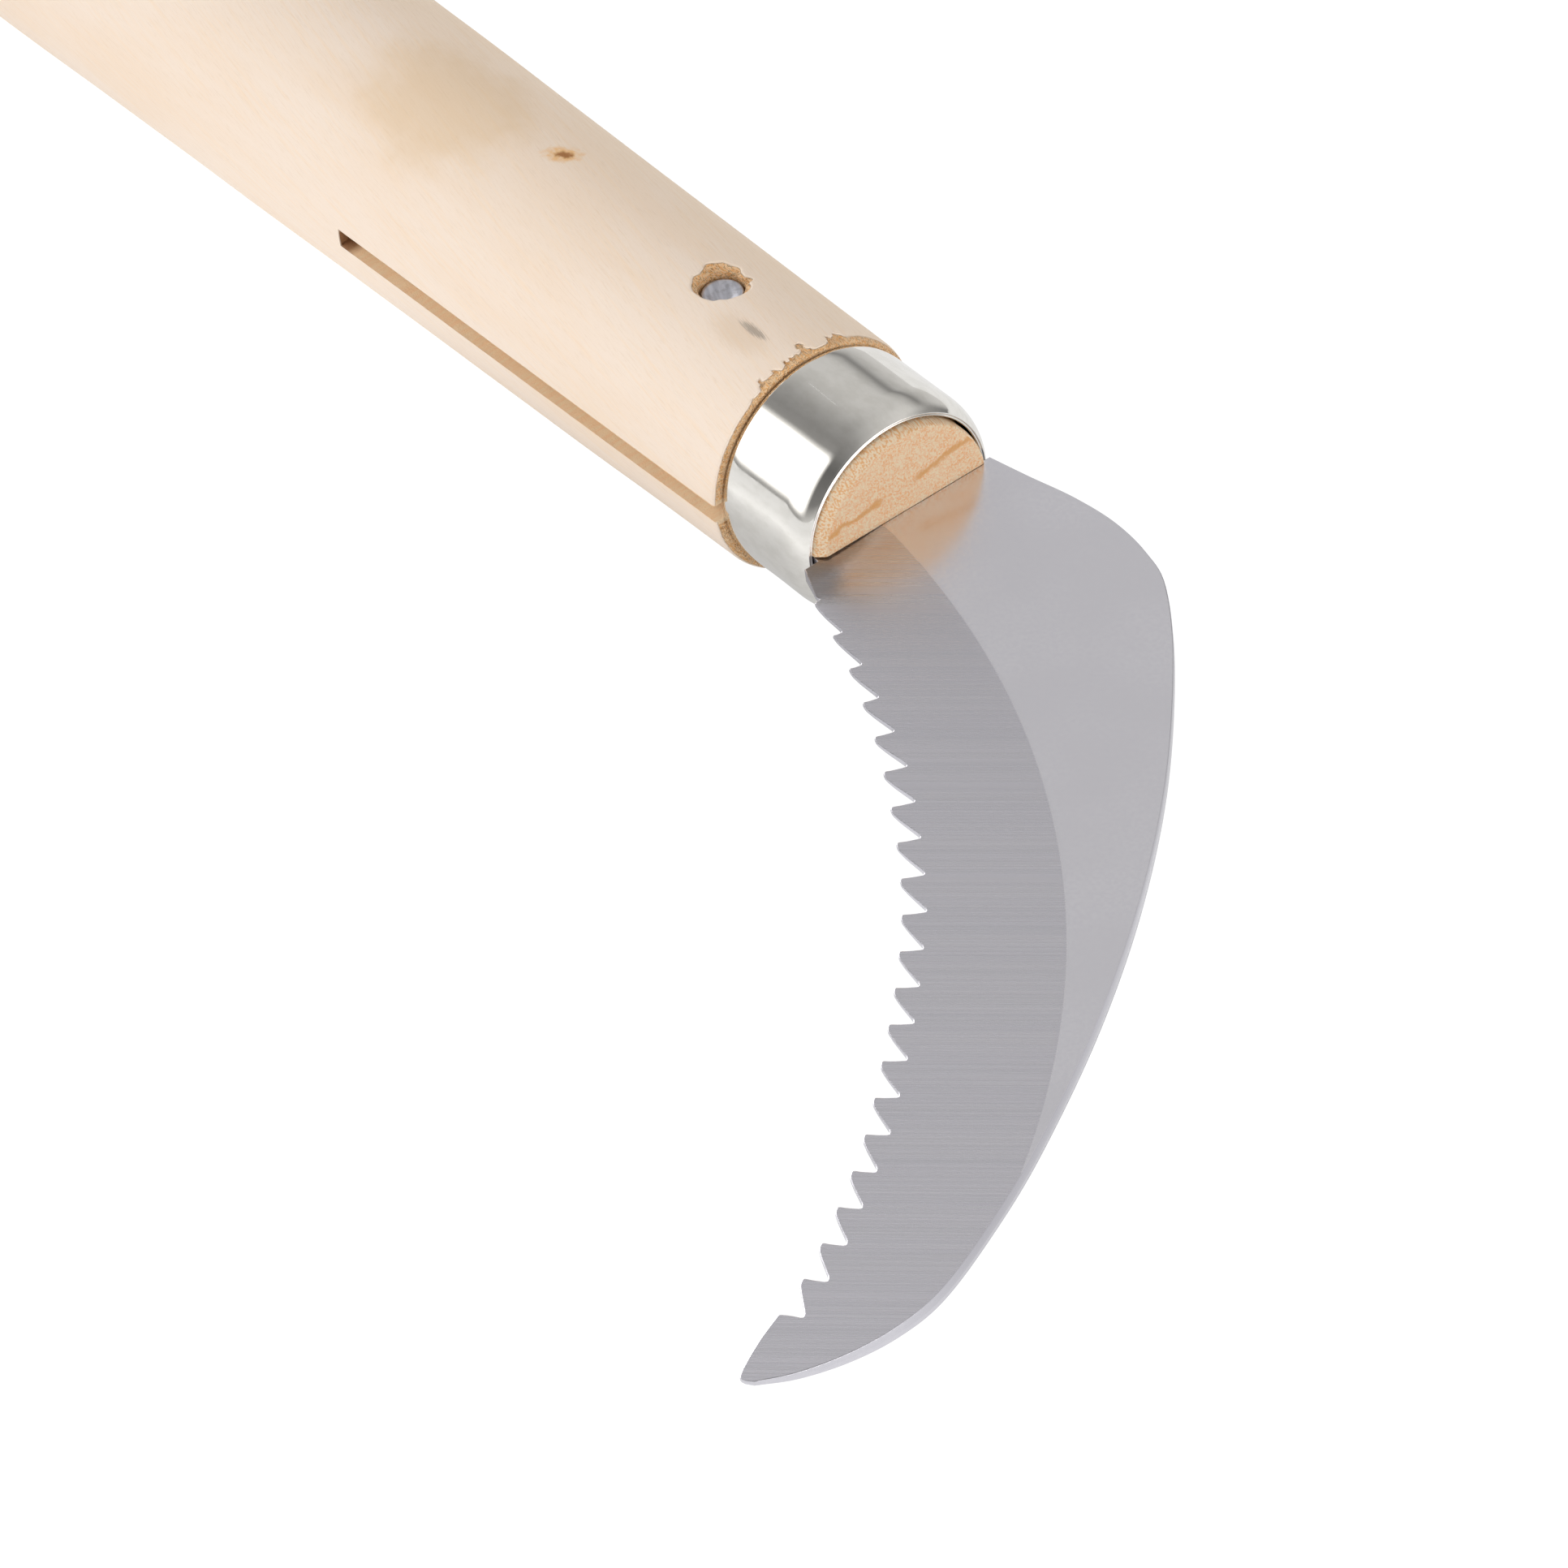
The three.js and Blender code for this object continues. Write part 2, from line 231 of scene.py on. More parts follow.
def lathe(name, rings, segments):
    """A closed mesh turned about X. Each ring is (x, radius), and the first and last have no radius."""
    turn = circle(segments)
    points = [(rings[0][0], 0, 0)]
    for x, radius in rings[1:-1]:
        points += [(x, -radius * math.cos(a), radius * math.sin(a)) for a in turn]
    points.append((rings[-1][0], 0, 0))
    faces = []
    count = len(rings) - 2
    for i in range(segments):
        after = (i + 1) % segments
        faces.append((0, 1 + after, 1 + i))
        for ring in range(count - 1):
            here, there = 1 + ring * segments, 1 + (ring + 1) * segments
            faces.append((here + i, here + after, there + after, there + i))
        last = 1 + (count - 1) * segments
        faces.append((last + i, last + after, len(points) - 1))
    return mesh_from(name, points, faces)


def coordinates(mesh):
    values = np.zeros(len(mesh.vertices) * 3)
    mesh.vertices.foreach_get("co", values)
    return values.reshape(-1, 3)


def set_coordinates(mesh, values):
    mesh.vertices.foreach_set("co", values.ravel())
    mesh.update()


def cut(piece, cutter):
    """Cuts one mesh out of another for good, and removes the cutter."""
    modifier = piece.modifiers.new("cut", "BOOLEAN")
    modifier.operation = "DIFFERENCE"
    modifier.solver = "MANIFOLD"
    modifier.object = cutter
    bpy.context.view_layer.update()
    graph = bpy.context.evaluated_depsgraph_get()
    mesh = bpy.data.meshes.new_from_object(piece.evaluated_get(graph))
    piece.modifiers.clear()
    piece.data = mesh
    bpy.data.objects.remove(cutter)


# ---- Handle ----

def handle_radius(x):
    return BUTT_RADIUS + (SHOULDER_RADIUS - BUTT_RADIUS) * x / SHOULDER_X


def handle_rings():
    """The turned profile, with close rings where the wood is chipped."""
    butt = handle_radius(BUTT_ROUNDING)
    rings = [(0, 0)]
    rings += [(0, r) for r in np.linspace(2 * MM, butt - BUTT_ROUNDING, 8)]
    for angle in np.radians(np.linspace(5, 90, 18)):
        rings.append((BUTT_ROUNDING * (1 - math.cos(angle)), butt - BUTT_ROUNDING * (1 - math.sin(angle))))
    stretches = [
        (BUTT_ROUNDING + 1 * MM, HOLE_RINGS[0], 1.4 * MM),
        (*HOLE_RINGS, 0.16 * MM),
        (HOLE_RINGS[1], CHIP_RINGS_START, 0.6 * MM),
        (CHIP_RINGS_START, SHOULDER_X - SHOULDER_ROUNDING, 0.12 * MM),
    ]
    for start, end, step in stretches:
        rings += [(x, handle_radius(x)) for x in np.arange(start, end, step)]
    top = SHOULDER_RADIUS - SHOULDER_ROUNDING
    for angle in np.radians(np.linspace(0, 90, 6)):
        rings.append((SHOULDER_X - SHOULDER_ROUNDING * (1 - math.sin(angle)),
                      top + SHOULDER_ROUNDING * math.cos(angle)))
    rings += [(SHOULDER_X, r) for r in np.arange(top - 0.15 * MM, SPIGOT_RADIUS, -0.15 * MM)]
    nose = LIP_X + NOSE_STAND_OUT
    rings += [(x, SPIGOT_RADIUS) for x in np.linspace(SHOULDER_X, LIP_X - SPIGOT_END_FROM_LIP, 6)]
    rings += [(x, NOSE_RADIUS) for x in np.arange(LIP_X - NOSE_BACK, nose - NOSE_ROUNDING, 0.3 * MM)]
    for angle in np.radians(np.linspace(0, 90, 5)):
        rings.append((nose - NOSE_ROUNDING * (1 - math.sin(angle)),
                      NOSE_RADIUS - NOSE_ROUNDING * (1 - math.cos(angle))))
    rings += [(nose, r) for r in np.arange(NOSE_RADIUS - NOSE_ROUNDING - 0.25 * MM, 0.5 * MM, -0.3 * MM)]
    rings.append((nose, 0))
    return rings


def shoulder_chips(x, turn):
    """How deep the torn shoulder edge lies below the turned surface. Splinters have come off most on
    one side, and a thin worn line runs round the rest."""
    fine = ValueNoise(230, 40)
    coarse = ValueNoise(74, 8)
    turns = turn / FULL_TURN
    behind = SHOULDER_X - x
    degrees = np.degrees(turn)
    torn = hump(TORN_RISES, TORN_FALLS, degrees)
    steps = coarse(turns, behind / (2.4 * MM) + 3)
    teeth = fine(turns, behind / (0.9 * MM))
    reach = 0.75 * MM * (teeth * steps - 0.12)
    ragged = np.clip(1.5 * steps - 0.35, 0, 1) * (0.4 + 0.6 * smoothstep(0.35, 0.55, teeth))
    reach = reach + torn * (0.35 * MM + SHOULDER_CHIP_REACH * ragged)
    chips = SHOULDER_CHIP_DEPTH * (0.30 + 0.70 * torn) * smoothstep(0, 0.3 * MM, reach - behind)
    sanded = hump(SANDED_RISES, SANDED_FALLS, degrees)
    return chips + SHOULDER_SANDING * sanded * (1 - smoothstep(0, 1.6 * MM, behind))


def hole_chips(x, y):
    """Depth of the wood broken out round the rivet hole."""
    around = ValueNoise(26, 3)
    dx, dy = x - RIVET_CENTRE.x, y - RIVET_CENTRE.y
    distance = np.hypot(dx, dy)
    turn = np.arctan2(dy, dx)
    turns = (turn / FULL_TURN) % 1
    side = 0.5 + 0.5 * np.cos(turn - math.radians(HOLE_CHIP_SIDE))
    width = HOLE_CHIP_REACH * (0.20 + 0.80 * side) * around(turns, np.full(turns.shape, 1.5))
    reach = HOLE_RADIUS + 0.20 * MM + width
    return HOLE_CHIP_DEPTH * smoothstep(0, 0.5 * MM, reach - distance)


def nose_bevel(x, turn):
    """How far the nose's end is worn in: most on the -Y side, where a splinter came off the corner."""
    degrees = (np.degrees(turn) + 180) % 360 - 180
    worn = 0.12 + 0.88 * hump(BEVEL_RISES, BEVEL_FALLS, degrees)
    share = smoothstep(LIP_X - 0.3 * MM, LIP_X + NOSE_STAND_OUT, x)
    return NOSE_BEVEL * worn * share


def kerf_half(x):
    """Half the kerf's width: the ferrule and the rivet pinch it towards the front."""
    end = LIP_X - KERF_END_FROM_LIP
    share = np.clip((x - end) / (SHOULDER_X - LIP_X + KERF_END_FROM_LIP), 0, 1)
    return (KERF_BACK_WIDTH + (KERF_FRONT_WIDTH - KERF_BACK_WIDTH) * share ** 1.5) / 2


def kerf_cutter():
    """A disc-shaped slot cutter whose thickness follows the kerf's width."""
    centre = LIP_X - KERF_END_FROM_LIP + SAW_RADIUS
    points, faces = [], []
    stations = 220
    for i in range(stations + 1):
        angle = math.pi * (i + 0.15) / (stations + 0.3)
        x = centre - SAW_RADIUS * math.cos(angle)
        y, z = SAW_RADIUS * math.sin(angle), float(kerf_half(x))
        points += [(x, -y, -z), (x, y, -z), (x, y, z), (x, -y, z)]
    for i in range(stations):
        here = 4 * i
        faces += [(here + k, here + (k + 1) % 4, here + 4 + (k + 1) % 4, here + 4 + k) for k in range(4)]
    faces += [(3, 2, 1, 0), tuple(4 * stations + k for k in range(4))]
    mesh = mesh_from("kerf_cutter", points, faces)
    shade(mesh, 30)
    return new_object("kerf_cutter", mesh)


def hole_cutter():
    """A slightly uneven drilled hole through the handle."""
    segments = 72
    turn = circle(segments)
    radius = HOLE_RADIUS + 0.06 * MM * np.sin(3 * turn + 1) + 0.04 * MM * np.sin(7 * turn)
    x, y = RIVET_CENTRE.x + radius * np.cos(turn), RIVET_CENTRE.y + radius * np.sin(turn)
    height = 20 * MM  # past the handle on both sides
    points = [(a, b, -height) for a, b in zip(x, y)] + [(a, b, height) for a, b in zip(x, y)]
    faces = [(i, (i + 1) % segments, segments + (i + 1) % segments, segments + i) for i in range(segments)]
    faces += [tuple(reversed(range(segments))), tuple(range(segments, 2 * segments))]
    return new_object("hole_cutter", mesh_from("hole_cutter", points, faces))


def make_handle():
    """The turned handle with its chips, and then the kerf and the rivet's hole cut through it."""
    mesh = lathe("handle_wood", handle_rings(), HANDLE_SEGMENTS)
    values = coordinates(mesh)
    x, y, z = values.T
    radius = np.hypot(y, z)
    turn = np.arctan2(z, -y) % FULL_TURN
    outside = (x > BUTT_ROUNDING) & (x <= SHOULDER_X) & (radius > SPIGOT_RADIUS + 0.05 * MM)
    waves = ValueNoise(6, 16)
    lower = np.where(outside, UNEVENNESS * (waves(turn / FULL_TURN, x / (14 * MM)) - 0.5), 0)
    lower = lower + np.where(outside, shoulder_chips(x, turn), 0)
    near_hole = outside & (np.abs(x - RIVET_CENTRE.x) < (HOLE_RINGS[1] - HOLE_RINGS[0]) / 2)
    lower = lower + np.where(near_hole, hole_chips(x, y), 0)
    lower = lower + nose_bevel(x, turn) * smoothstep(0.6, 1, radius / NOSE_RADIUS)
    scale = np.where(radius > 0, (radius - lower) / np.maximum(radius, 1e-9), 1)
    values[:, 1] *= scale
    values[:, 2] *= scale
    set_coordinates(mesh, values)
    piece = new_object("handle_wood", mesh)
    cut(piece, kerf_cutter())
    cut(piece, hole_cutter())
    shade(piece.data, 38)
    return piece


# ---- Ferrule ----

def ferrule_profile():
    """The wall's section as a closed loop of (x, radius), outside first."""
    back = FERRULE_LOW.x
    bore = FERRULE_RADIUS - FERRULE_WALL
    fall = FERRULE_RADIUS - LIP_FALL
    loop = [(back, bore + 0.1 * MM), (back, FERRULE_RADIUS - FERRULE_PINCH - 0.1 * MM)]
    for x in np.linspace(back + 0.1 * MM, LIP_X - FERRULE_DRAWN_IN - 0.4 * MM, 24):
        pinch = max(0, 1 - (x - back) / FERRULE_PINCH_LENGTH)
        loop.append((x, FERRULE_RADIUS - FERRULE_PINCH * pinch ** 2))
    last = math.acos((LIP_RADIUS + 0.28 * MM - LIP_FALL) / fall)
    for angle in np.linspace(0, last, 26):
        loop.append((LIP_X + FERRULE_DRAWN_IN * (math.sin(angle) - 1), LIP_FALL + fall * math.cos(angle)))
    end_x, end_r = loop[-1]
    for drop, bead, last_degrees in LIP_BEADS:
        for angle in np.radians(np.linspace(60, last_degrees, 9)):
            loop.append((end_x - 0.04 * MM + bead * math.cos(angle), end_r - drop + bead * math.sin(angle)))
    inner_x, inner_r = loop[-1]
    loop += [(inner_x - 1.0 * MM, inner_r + 0.1 * MM), (LIP_X - 3.2 * MM, bore - 0.35 * MM),
             (LIP_X - 4.4 * MM, bore), (back + 0.1 * MM, bore)]
    return loop


def make_ferrule():
    """The wall's section turned round, a little off the handle's axis, with faint dents."""
    profile = ferrule_profile()
    turn = circle(FERRULE_SEGMENTS)
    points, faces = [], []
    dents = ValueNoise(11, 9)
    shift_y, shift_z = FERRULE_SHIFT
    for x, radius in profile:
        along = np.full(FERRULE_SEGMENTS, x / (4 * MM))
        uneven = FERRULE_DENTS * (dents(turn / FULL_TURN, along) - 0.5)
        points += [(x, shift_y - (radius + w) * math.cos(a), shift_z + (radius + w) * math.sin(a))
                   for a, w in zip(turn, uneven)]
    count = len(profile)
    for ring in range(count):
        here, there = ring * FERRULE_SEGMENTS, ((ring + 1) % count) * FERRULE_SEGMENTS
        for i in range(FERRULE_SEGMENTS):
            after = (i + 1) % FERRULE_SEGMENTS
            faces.append((here + i, here + after, there + after, there + i))
    mesh = mesh_from("ferrule_nickel", points, faces)
    shade(mesh, 50)
    return new_object("ferrule_nickel", mesh)


# ---- Blade ----

tooth_line = [p * MM for p in catmull_rom(TOOTH_LINE, 0.1)]


def along_tooth_line(length, depth):
    """A point at a length along the line of tooth tips, moved into the blade by a depth."""
    travelled = 0
    for a, b in zip(tooth_line, tooth_line[1:]):
        step = (b - a).length
        if travelled + step >= length:
            break
        travelled += step
    direction = (b - a).normalized()
    return a + direction * (length - travelled) + Vector((-direction.y, direction.x)) * depth


def tooth_face(tooth):
    return TOOTH_PITCH * tooth - PITCH_CLOSING * tooth ** 2


def rounded(points, radius, step):
    """The polyline with its inner corners rounded, each by an arc-like quadratic curve."""
    made = [points[0]]
    for before, corner, after in zip(points, points[1:], points[2:]):
        back, forth = before - corner, after - corner
        size = min(radius, 0.45 * back.length, 0.45 * forth.length)
        start, end = corner + back.normalized() * size, corner + forth.normalized() * size
        count = max(3, int(2 * size / step))
        for i in range(count + 1):
            t = i / count
            made.append(start * (1 - t) ** 2 + corner * 2 * t * (1 - t) + end * t ** 2)
    return [*made, points[-1]]


def tooth_outline():
    """A blunt crest, a long back that bows a little, a round gullet and a steep, undercut face."""
    corners = []
    for tooth in range(TOOTH_COUNT - 1):
        growth = min(tooth / FULL_DEPTH_TOOTH, 1)
        depth = TOOTH_DEPTH * (FIRST_TOOTH_SHARE + (1 - FIRST_TOOTH_SHARE) * growth)
        depth *= 1 + 0.06 * (RANDOM.random() - 0.5)
        face, following = tooth_face(tooth), tooth_face(tooth + 1)
        corners.append(along_tooth_line(face, 0))
        corners.append(along_tooth_line(face + CREST_LENGTH, 0.06 * MM))
        corners.append(along_tooth_line(face + 0.45 * (following - face), depth * 0.33))
        corners.append(along_tooth_line(following - 0.55 * MM, depth * 0.97))
        corners.append(along_tooth_line(following + 0.1 * MM, depth * 1.02))
        corners.append(along_tooth_line(following + 0.12 * MM, depth * 0.45))
    return corners


def resampled(points, step):
    """The closed or open polyline with points no further apart than a step."""
    made = [points[0]]
    for a, b in zip(points, points[1:]):
        count = max(1, math.ceil((b - a).length / step))
        made += [a + (b - a) * (i / count) for i in range(1, count + 1)]
    return made


def blade_outline():
    """The blade's closed outline, anticlockwise, with the first point at the neck's lower corner."""
    notch = TOOTH_LINE[0][0] * MM
    neck = [Vector((GAP, NECK_CORNER * MM)), Vector((notch - 0.4 * MM, (NECK_LOWER_EDGE + 0.1) * MM)),
            Vector((notch + 0.1 * MM, (NECK_LOWER_EDGE + 0.25) * MM))]
    point = [p * MM for p in catmull_rom(POINT_OF_BLADE, 0.4)]
    back = [p * MM for p in catmull_rom(BACK_OF_BLADE, 0.8)]
    teeth = rounded([*neck, *tooth_outline(), point[0], point[2]], TIP_ROUNDING, 0.07 * MM)[:-1]
    upper = [Vector(p) * MM for p in TANG]
    lower = [Vector((p.x, -p.y)) for p in reversed(upper)]
    return resampled([*teeth, *point[3:], *back[1:], *upper, *lower, teeth[0]], OUTLINE_STEP)[:-1]


def ground_depth(x, y):
    """Metal ground off the near face: none behind the grinding arc, all of it at the toothed edge."""
    dx, dy = x - GRIND_CENTRE.x, y - GRIND_CENTRE.y
    inside = GRIND_RADIUS - np.hypot(dx, dy)
    turn = np.arctan2(dy, dx)
    line = np.array([tuple(p) for p in tooth_line])
    line = np.vstack([LINE_START, line, LINE_FINISH])
    line_turn = np.arctan2(line[:, 1] - GRIND_CENTRE.y, line[:, 0] - GRIND_CENTRE.x)
    line_inside = GRIND_RADIUS - np.hypot(line[:, 0] - GRIND_CENTRE.x, line[:, 1] - GRIND_CENTRE.y)
    order = np.argsort(line_turn)
    width = np.interp(turn, line_turn[order], line_inside[order])
    start = smoothstep(-1 * MM, 4 * MM, x)
    return GRIND_DEPTH * np.clip(inside / np.maximum(width, 1 * MM), 0, 1.12) * start


def offset_inward(points, distance):
    """Each point of an anticlockwise loop moved to its inner side."""
    loop = np.array([tuple(p) for p in points])
    direction = np.roll(loop, -1, 0) - np.roll(loop, 1, 0)
    direction /= np.linalg.norm(direction, axis=1)[:, None]
    return loop + distance * np.stack([-direction[:, 1], direction[:, 0]], 1)


def inside(loop, points):
    """Which points lie inside a closed loop, by counting the edges to their right."""
    crossed = np.zeros(len(points), bool)
    x, y = points[:, 0], points[:, 1]
    for (ax, ay), (bx, by) in zip(loop, np.roll(loop, -1, 0)):
        if ay != by:
            crossed ^= ((ay > y) != (by > y)) & (x < ax + (bx - ax) * (y - ay) / (by - ay))
    return crossed


def flat_pattern(loop):
    """Triangles that fill the loop, with a line of edges along the grinding arc."""
    turn = np.linspace(ARC_START, ARC_FINISH, ARC_POINTS)
    arc = np.stack([GRIND_CENTRE.x + GRIND_RADIUS * np.cos(turn),
                    GRIND_CENTRE.y + GRIND_RADIUS * np.sin(turn)], 1)
    arc = arc[inside(loop, arc)]
    low, high = loop.min(0), loop.max(0)
    x, y = np.meshgrid(np.arange(low[0], high[0], FILL_STEP), np.arange(low[1], high[1], FILL_STEP))
    x = x + (np.arange(len(x)) % 2)[:, None] * FILL_STEP / 2
    fill = np.stack([x.ravel(), y.ravel()], 1)
    fill = fill[inside(loop, fill)]
    gap = np.min(np.hypot(*(fill[:, None] - loop[None]).transpose(2, 0, 1)), axis=1)
    fill = fill[gap > 0.4 * FILL_STEP]
    size = len(loop)
    edges = [(i, (i + 1) % size) for i in range(size)]
    edges += [(size + i, size + i + 1) for i in range(len(arc) - 1)]
    points = [Vector(p) for p in np.vstack([loop, arc, fill])]
    filled = delaunay_2d_cdt(points, edges, [], 0, 1e-8, True)
    flat = np.array([tuple(p) for p in filled[0]])
    faces = np.array([tuple(f) for f in filled[2]])
    return flat, faces[inside(loop, flat[faces].mean(1))]


def make_blade():
    """The sheet's two faces, joined by a rim that is rounded over on both sides."""
    rim = np.array([tuple(p) for p in blade_outline()])
    inner = offset_inward(rim, EDGE_ROUNDING)
    flat, faces = flat_pattern(inner)
    count, size = len(flat), len(rim)
    top = BLADE_HALF - ground_depth(flat[:, 0], flat[:, 1])
    rim_top = BLADE_HALF - ground_depth(inner[:, 0], inner[:, 1])
    soft = np.minimum(EDGE_ROUNDING, (rim_top + BLADE_HALF) * 0.3)
    points = [(x, y, z) for (x, y), z in zip(flat, top)]
    points += [(x, y, -BLADE_HALF) for x, y in flat]
    made = [tuple(f) for f in faces]
    made += [tuple(count + i for i in reversed(f)) for f in faces]
    levels = [
        (inner, rim_top), (inner * 0.3 + rim * 0.7, rim_top - 0.3 * soft), (rim, rim_top - soft),
        (rim, -BLADE_HALF + soft), (inner * 0.3 + rim * 0.7, -BLADE_HALF + 0.3 * soft),
        (inner, np.full(size, -BLADE_HALF)),
    ]
    start = len(points)
    for loop, height in levels:
        points += [(p[0], p[1], h) for p, h in zip(loop, height)]
    for level in range(len(levels) - 1):
        here, there = start + level * size, start + (level + 1) * size
        for i in range(size):
            after = (i + 1) % size
            made.append((there + i, there + after, here + after, here + i))
    mesh = mesh_from("blade_steel", [(x + LIP_X, y, z) for x, y, z in points], made)
    joining = bmesh.new()
    joining.from_mesh(mesh)
    bmesh.ops.remove_doubles(joining, verts=joining.verts, dist=1e-6)
    joining.to_mesh(mesh)
    joining.free()
    shade(mesh, 25)
    return new_object("blade_steel", mesh)


# ---- Rivet ----

RIVET_SEGMENTS = 72


def make_rivet():
    """A cropped wire pin: slightly domed ends with a dished middle and a small burr."""
    radius = (RIVET_HIGH.x - RIVET_LOW.x) / 2
    top = RIVET_HIGH.z
    end = [(top - 0.22 * MM, 0), (top - 0.22 * MM, radius * 0.3), (top - 0.16 * MM, radius * 0.55),
           (top - 0.03 * MM, radius * 0.76), (top, radius * 0.85), (top - 0.07 * MM, radius * 0.94),
           (top - 0.3 * MM, radius), (top - 1.2 * MM, radius), (top - 3 * MM, radius)]
    rings = end + [(-x, r) for x, r in reversed(end)]
    mesh = lathe("rivet_steel", rings, RIVET_SEGMENTS)
    values = coordinates(mesh)
    x, y, z = values.T.copy()
    values = np.stack([RIVET_CENTRE.x + z, RIVET_CENTRE.y + y, x], 1)
    set_coordinates(mesh, values)
    shade(mesh, 40)
    return new_object("rivet_steel", mesh)


# ---- Materials ----

class Graph:
    """Short forms for building one node tree. A value may be a number or an earlier node's socket."""

    def __init__(self, tree):
        self.tree = tree
        tree.nodes.clear()

    def node(self, kind, values=(), **settings):
        made = self.tree.nodes.new(kind)
        for name, value in settings.items():
            setattr(made, name, value)
        for place, value in dict(values).items():
            if isinstance(value, bpy.types.NodeSocket):
                self.tree.links.new(value, made.inputs[place])
            else:
                made.inputs[place].default_value = value
        return made

    def math(self, operation, *values):
        return self.node("ShaderNodeMath", enumerate(values), operation=operation).outputs[0]

    def product(self, first, *others):
        for other in others:
            first = self.math("MULTIPLY", first, other)
        return first

    def swing(self, noise, size):
        """A noise from 0 to 1, turned into one about 0."""
        return self.math("MULTIPLY", self.math("SUBTRACT", noise, 0.5), size)

    def near_zero(self, value, low, high, level=1.0):
        """A level where the value is nearer to 0 than low, and 0 where it is further off than high."""
        return self.step(self.math("ABSOLUTE", value), low, high, level, 0.0)

    def vector(self, operation, *values):
        return self.node("ShaderNodeVectorMath", enumerate(values), operation=operation).outputs[0]

    def length(self, value):
        return self.node("ShaderNodeVectorMath", {0: value}, operation="LENGTH").outputs["Value"]

    def split(self, value):
        return self.node("ShaderNodeSeparateXYZ", {0: value}).outputs

    def join(self, x, y, z):
        return self.node("ShaderNodeCombineXYZ", {0: x, 1: y, 2: z}).outputs[0]

    def millimetres(self):
        place = self.node("ShaderNodeTexCoord").outputs["Object"]
        return self.node("ShaderNodeVectorMath", {0: place, "Scale": 1 / MM}, operation="SCALE").outputs[0]

    def stretched(self, place, scale, turn=0.0):
        """The place turned about Z by an angle in degrees, then scaled along each axis."""
        rotated = self.node("ShaderNodeVectorRotate", {"Vector": place, "Angle": math.radians(turn)},
                            rotation_type="Z_AXIS").outputs[0]
        return self.vector("MULTIPLY", rotated, scale)

    def noise(self, place, scale=1.0, detail=2.0, roughness=0.5, distortion=0.0):
        values = {"Vector": place, "Scale": scale, "Detail": detail, "Roughness": roughness,
                  "Distortion": distortion}
        return self.node("ShaderNodeTexNoise", values).outputs[0]

    def step(self, value, low, high, start=0.0, end=1.0):
        """A smooth ramp from start at low to end at high."""
        values = {0: value, 1: low, 2: high, 3: start, 4: end}
        return self.node("ShaderNodeMapRange", values, interpolation_type="SMOOTHSTEP").outputs[0]

    def blend(self, share, first, second):
        made = self.node("ShaderNodeMix", data_type="RGBA", blend_type="MIX")
        for place, value in ((0, share), (6, first), (7, second)):
            if isinstance(value, bpy.types.NodeSocket):
                self.tree.links.new(value, made.inputs[place])
            else:
                made.inputs[place].default_value = value if place == 0 else (*value, 1)
        return made.outputs[2]

    def ramp(self, value, stops):
        """A value that runs in straight lines through (position, value) stops."""
        low, high = stops[0][0], stops[-1][0]
        made = self.node("ShaderNodeValToRGB", {0: self.node(
            "ShaderNodeMapRange", {0: value, 1: low, 2: high, 3: 0.0, 4: 1.0}).outputs[0]})
        elements = made.color_ramp.elements
        while len(elements) < len(stops):
            elements.new(0.5)
        for element, (place, level) in zip(elements, stops):
            element.position = (place - low) / (high - low)
            element.color = (level, level, level, 1)
        return made.outputs[0]

    def blob(self, place, centre, reach, edge=0.0):
        """1 within an ellipsoid, falling smoothly to 0 at its reach. Edge is a socket that warps it."""
        away = self.vector("DIVIDE", self.vector("SUBTRACT", place, centre), reach)
        distance = self.length(away)
        if isinstance(edge, bpy.types.NodeSocket):
            distance = self.math("ADD", distance, edge)
        return self.step(distance, 0.35, 1.0, 1.0, 0.0)

    def bump(self, height, strength, distance, normal=None):
        values = {"Height": height, "Strength": strength, "Distance": distance}
        if normal is not None:
            values["Normal"] = normal
        return self.node("ShaderNodeBump", values).outputs[0]

    def surface(self, settings):
        shader = self.node("ShaderNodeBsdfPrincipled", settings)
        output = self.node("ShaderNodeOutputMaterial")
        self.tree.links.new(shader.outputs[0], output.inputs[0])


def new_material(name):
    material = bpy.data.materials.new(name)
    material.use_nodes = True
    return material, Graph(material.node_tree)


def on_handle(x, degrees):
    """A point of the handle's surface, in millimetres."""
    radius = handle_radius(x * MM) / MM
    angle = math.radians(degrees)
    return (x, -radius * math.cos(angle), radius * math.sin(angle))


LIP = LIP_X / MM  # material places are in millimetres

PALE_WOOD = (0.84, 0.71, 0.60)
WARM_WOOD = (0.83, 0.68, 0.55)
# a warmer tan towards +Y, made lighter as painted light on the dimly lit far side
TAN_WOOD_AND_PAINTED_LIGHT = (1.0, 0.79, 0.575)
STREAK_WOOD = (0.86, 0.665, 0.475)
STAINED_WOOD = (0.62, 0.44, 0.27)
STAIN = (0.70, 0.49, 0.27)
KNOT_RING = (0.78, 0.44, 0.15)
KNOT_HEART = (0.36, 0.15, 0.045)
BRUISE = (0.20, 0.165, 0.14)
CUT_WOOD = (1.0, 0.70, 0.42)
TORN_WOOD = (0.92, 0.50, 0.20)
CRACK = (0.30, 0.15, 0.07)
# sawn-wood colours of the kerf's walls, made lighter as painted light inside the shaded slot
SAWN_WOOD_PAINTED_LIGHT = (1.0, 0.66, 0.38)
SAWN_PALE_PAINTED_LIGHT = (1.0, 0.74, 0.47)
# painted shade at the kerf's blind end, where light does not reach
KERF_END_SHADE = (0.36, 0.16, 0.06)
NOSE_SIDE = (1.0, 0.80, 0.58)
END_GRAIN = (0.97, 0.51, 0.22)
END_PALE = (1.0, 0.82, 0.59)
GROWTH_LINE = (0.85, 0.40, 0.12)

